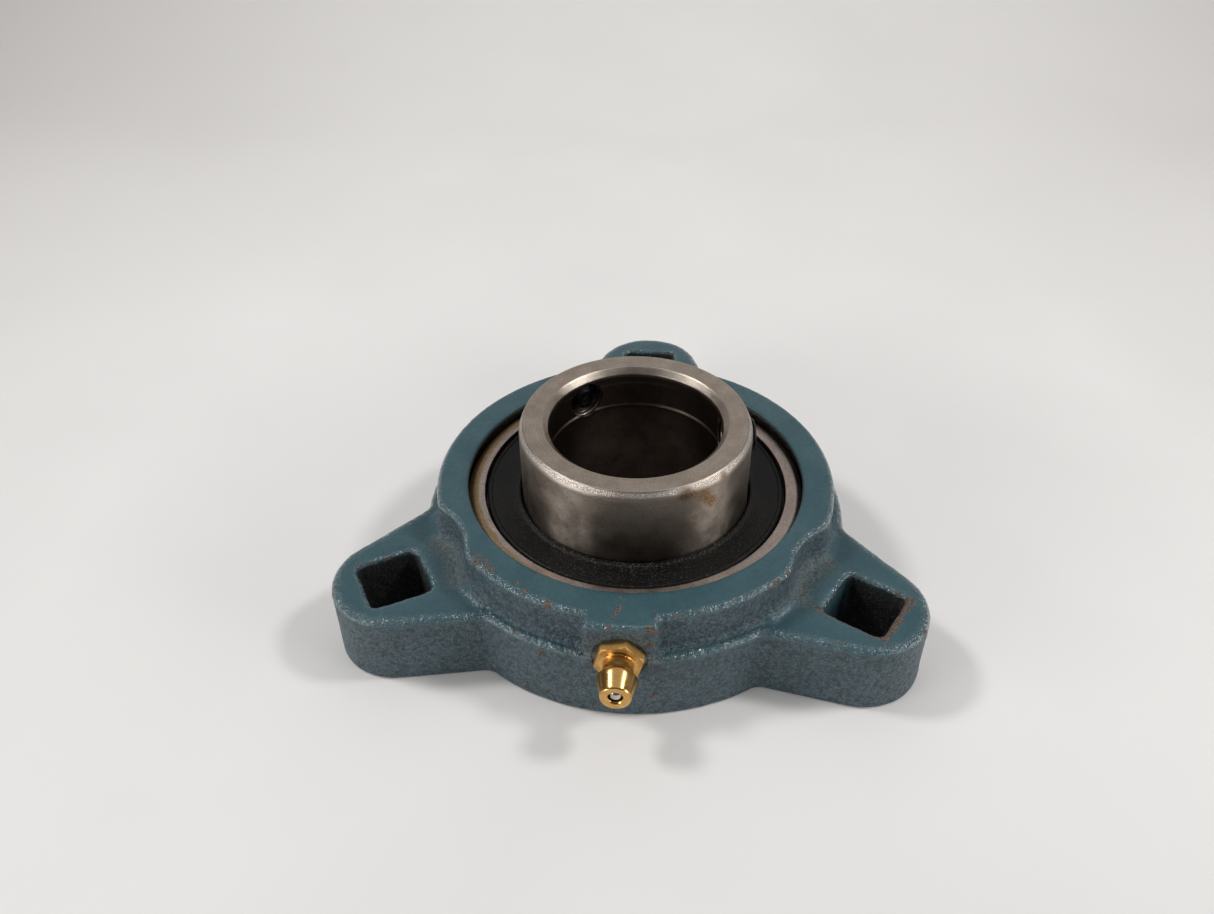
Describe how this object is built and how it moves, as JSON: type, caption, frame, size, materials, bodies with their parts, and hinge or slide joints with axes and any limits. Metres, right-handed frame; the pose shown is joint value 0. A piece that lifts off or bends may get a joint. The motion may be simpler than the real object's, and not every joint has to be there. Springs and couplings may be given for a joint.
{
  "type": "flange mount bearing",
  "caption": "Self-aligning ball bearing insert in a cast triangular flange housing with square bolt holes, a long inner ring with set screws and a grease fitting.",
  "frame": {"origin": "centre of the whole object's box, on its mounting face; the shaft's axis is at x 0, y -5.3 mm", "axes": "+Z along the shaft, out of the mounting face towards the inner ring's long end; -Y towards the grease fitting; +Y towards the back bolt lobe"},
  "size_m": [0.0994, 0.101, 0.0324],
  "materials": {
    "painted_iron": "dark teal enamel over rough cast iron, chipped to rust on its edges",
    "ground_steel": "ground bearing steel, satin, lightly stained",
    "polished_steel": "polished steel",
    "cage_steel": "pressed sheet steel",
    "black_steel": "black oxide",
    "black_rubber": "matte moulded nitrile rubber",
    "yellow_brass": "turned brass, slightly tarnished"
  },
  "bodies": {
    "housing": {"housing": "painted_iron", "grease_fitting_body": "yellow_brass", "grease_fitting_spring": "polished_steel"},
    "insert": {"outer_ring": "ground_steel", "seal_front_rubber": "black_rubber", "seal_front_core": "cage_steel", "seal_rear_rubber": "black_rubber", "seal_rear_core": "cage_steel"},
    "inner_ring": {"inner_ring": "ground_steel"},
    "cage": {"cage_front": "cage_steel", "cage_rear": "cage_steel", "cage_rivet_1": "cage_steel", "cage_rivet_2": "cage_steel", "cage_rivet_3": "cage_steel", "cage_rivet_4": "cage_steel", "cage_rivet_5": "cage_steel", "cage_rivet_6": "cage_steel", "cage_rivet_7": "cage_steel", "cage_rivet_8": "cage_steel", "cage_rivet_9": "cage_steel"},
    "ball_1": {"ball_1": "polished_steel"},
    "ball_2": {"ball_2": "polished_steel"},
    "ball_3": {"ball_3": "polished_steel"},
    "ball_4": {"ball_4": "polished_steel"},
    "ball_5": {"ball_5": "polished_steel"},
    "ball_6": {"ball_6": "polished_steel"},
    "ball_7": {"ball_7": "polished_steel"},
    "ball_8": {"ball_8": "polished_steel"},
    "ball_9": {"ball_9": "polished_steel"},
    "set_screw_1": {"set_screw_1": "black_steel"},
    "set_screw_2": {"set_screw_2": "black_steel"},
    "check_ball": {"grease_fitting_ball": "polished_steel"}
  },
  "joints": [
    {"name": "insert_tilt", "type": "hinge", "parent": "housing", "child": "insert", "pos_m": [0, -0.0053, 0.0104], "axis": [1, 0, 0], "range_deg": [-2.5, 2.5]},
    {"name": "inner_ring_spin", "type": "hinge", "parent": "insert", "child": "inner_ring", "pos_m": [0, -0.0053, 0.0104], "axis": [0, 0, 1], "continuous": true},
    {"name": "cage_spin", "type": "hinge", "parent": "insert", "child": "cage", "pos_m": [0, -0.0053, 0.0104], "axis": [0, 0, 1], "continuous": true},
    {"name": "ball_1_spin", "type": "hinge", "parent": "cage", "child": "ball_1", "pos_m": [0.023, -0.0053, 0.0104], "axis": [0, 0, 1], "continuous": true},
    {"name": "ball_2_spin", "type": "hinge", "parent": "cage", "child": "ball_2", "pos_m": [0.01762, 0.00948, 0.0104], "axis": [0, 0, 1], "continuous": true},
    {"name": "ball_3_spin", "type": "hinge", "parent": "cage", "child": "ball_3", "pos_m": [0.00399, 0.01735, 0.0104], "axis": [0, 0, 1], "continuous": true},
    {"name": "ball_4_spin", "type": "hinge", "parent": "cage", "child": "ball_4", "pos_m": [-0.0115, 0.01462, 0.0104], "axis": [0, 0, 1], "continuous": true},
    {"name": "ball_5_spin", "type": "hinge", "parent": "cage", "child": "ball_5", "pos_m": [-0.02161, 0.00257, 0.0104], "axis": [0, 0, 1], "continuous": true},
    {"name": "ball_6_spin", "type": "hinge", "parent": "cage", "child": "ball_6", "pos_m": [-0.02161, -0.01317, 0.0104], "axis": [0, 0, 1], "continuous": true},
    {"name": "ball_7_spin", "type": "hinge", "parent": "cage", "child": "ball_7", "pos_m": [-0.0115, -0.02522, 0.0104], "axis": [0, 0, 1], "continuous": true},
    {"name": "ball_8_spin", "type": "hinge", "parent": "cage", "child": "ball_8", "pos_m": [0.00399, -0.02795, 0.0104], "axis": [0, 0, 1], "continuous": true},
    {"name": "ball_9_spin", "type": "hinge", "parent": "cage", "child": "ball_9", "pos_m": [0.01762, -0.02008, 0.0104], "axis": [0, 0, 1], "continuous": true},
    {"name": "set_screw_1_travel", "type": "slide", "parent": "inner_ring", "child": "set_screw_1", "axis": [0.6428, -0.766, 0], "range_m": [-0.0012, 0.0015]},
    {"name": "set_screw_2_travel", "type": "slide", "parent": "inner_ring", "child": "set_screw_2", "axis": [-0.9848, -0.1736, 0], "range_m": [-0.0012, 0.0015]},
    {"name": "check_ball_press", "type": "slide", "parent": "housing", "child": "check_ball", "axis": [0, 1, 0], "range_m": [0, 0.0008], "stiffness_N_per_m": 300, "springref_m": -0.002, "deforming": ["grease_fitting_spring"]}
  ],
  "couplings": [
    {"joint": "cage_spin", "follows": "inner_ring_spin", "ratio": 0.39647},
    {"joint": "ball_1_spin", "follows": "inner_ring_spin", "ratio": -2.3112},
    {"joint": "ball_2_spin", "follows": "inner_ring_spin", "ratio": -2.3112},
    {"joint": "ball_3_spin", "follows": "inner_ring_spin", "ratio": -2.3112},
    {"joint": "ball_4_spin", "follows": "inner_ring_spin", "ratio": -2.3112},
    {"joint": "ball_5_spin", "follows": "inner_ring_spin", "ratio": -2.3112},
    {"joint": "ball_6_spin", "follows": "inner_ring_spin", "ratio": -2.3112},
    {"joint": "ball_7_spin", "follows": "inner_ring_spin", "ratio": -2.3112},
    {"joint": "ball_8_spin", "follows": "inner_ring_spin", "ratio": -2.3112},
    {"joint": "ball_9_spin", "follows": "inner_ring_spin", "ratio": -2.3112}
  ]
}
